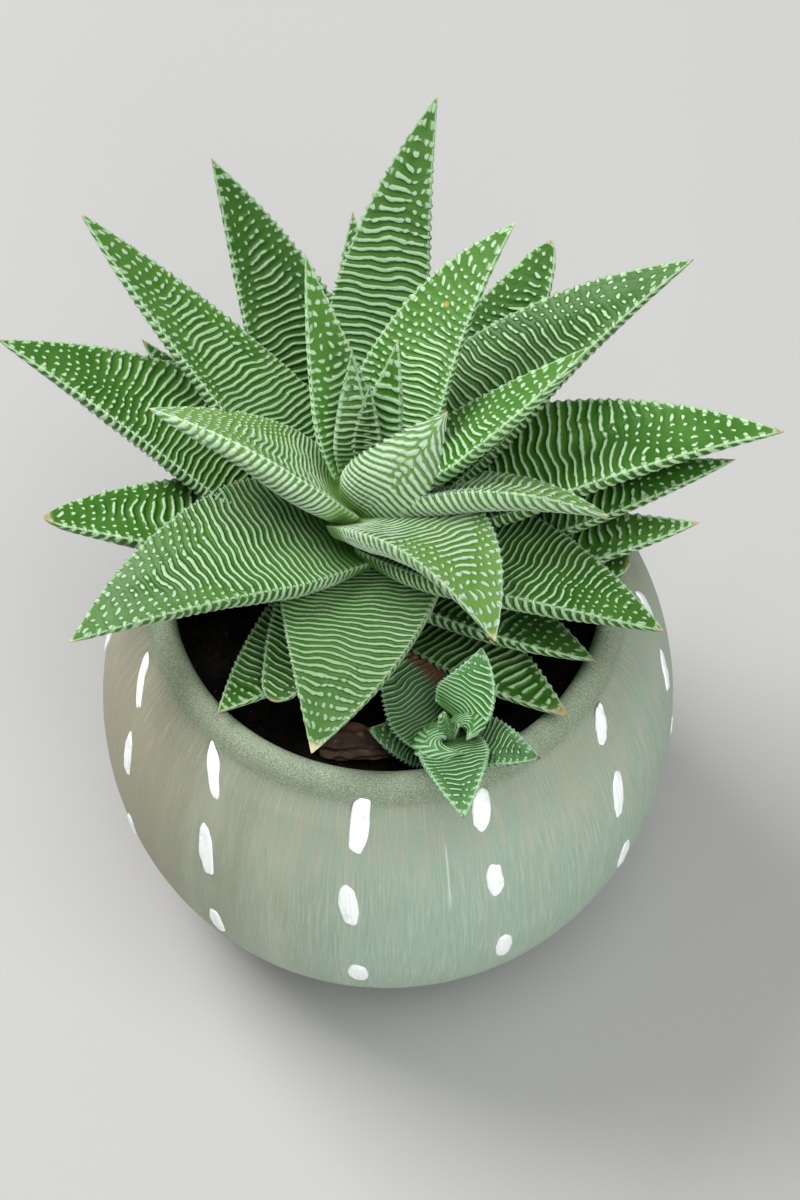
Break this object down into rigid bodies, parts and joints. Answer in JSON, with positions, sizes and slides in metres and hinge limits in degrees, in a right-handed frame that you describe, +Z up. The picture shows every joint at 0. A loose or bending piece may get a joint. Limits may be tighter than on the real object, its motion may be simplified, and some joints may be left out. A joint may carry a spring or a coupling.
{
  "type": "potted haworthia",
  "caption": "Rosette succulent of thick pointed leaves with raised pale cross ridges and a small side shoot, growing in soil in a round painted clay pot with dashes.",
  "frame": {"origin": "middle of the pot's flat base", "axes": "+Z up out of the pot, -Y towards the front, where the side shoot leans over the rim, +X to the right seen from the front"},
  "size_m": [0.1278, 0.122, 0.118],
  "materials": {
    "pot": "matte brushed paint on fired clay",
    "soil": "dark loose soil",
    "husk": "dry, matte",
    "stem": "stands in for fleshy plant stem",
    "young_leaf": "stands in for pale young leaf, satin",
    "leaf": "stands in for leaf, satin",
    "old_leaf": "stands in for dark old leaf, satin",
    "offset_leaf": "stands in for leaf of the offset shoot, satin"
  },
  "bodies": {
    "root": {"pot": "pot", "soil": "soil", "dry_husk": "husk", "stem": "stem", "offset_stem": "stem", "leaf_01": "old_leaf", "leaf_02": "old_leaf", "leaf_03": "leaf", "leaf_04": "young_leaf", "leaf_05": "leaf", "leaf_06": "leaf", "leaf_07": "young_leaf", "leaf_08": "young_leaf", "leaf_09": "young_leaf", "leaf_10": "leaf", "leaf_11": "leaf", "leaf_12": "leaf", "leaf_13": "old_leaf", "leaf_14": "leaf", "leaf_15": "old_leaf", "leaf_16": "leaf", "leaf_18": "old_leaf", "leaf_19": "old_leaf", "leaf_17": "old_leaf", "leaf_21": "old_leaf", "leaf_22": "old_leaf", "leaf_24": "old_leaf", "leaf_23": "old_leaf", "leaf_20": "old_leaf", "leaf_25": "old_leaf", "leaf_26": "old_leaf", "leaf_28": "old_leaf", "leaf_30": "old_leaf", "leaf_27": "old_leaf", "leaf_29": "old_leaf", "leaf_32": "old_leaf", "offset_bud_1": "offset_leaf", "offset_bud_2": "offset_leaf", "offset_heart_1": "offset_leaf", "offset_heart_2": "offset_leaf", "offset_leaf_1": "offset_leaf", "offset_leaf_2": "offset_leaf", "offset_leaf_3": "offset_leaf", "offset_leaf_4": "offset_leaf", "offset_leaf_5": "offset_leaf"}
  },
  "joints": []
}
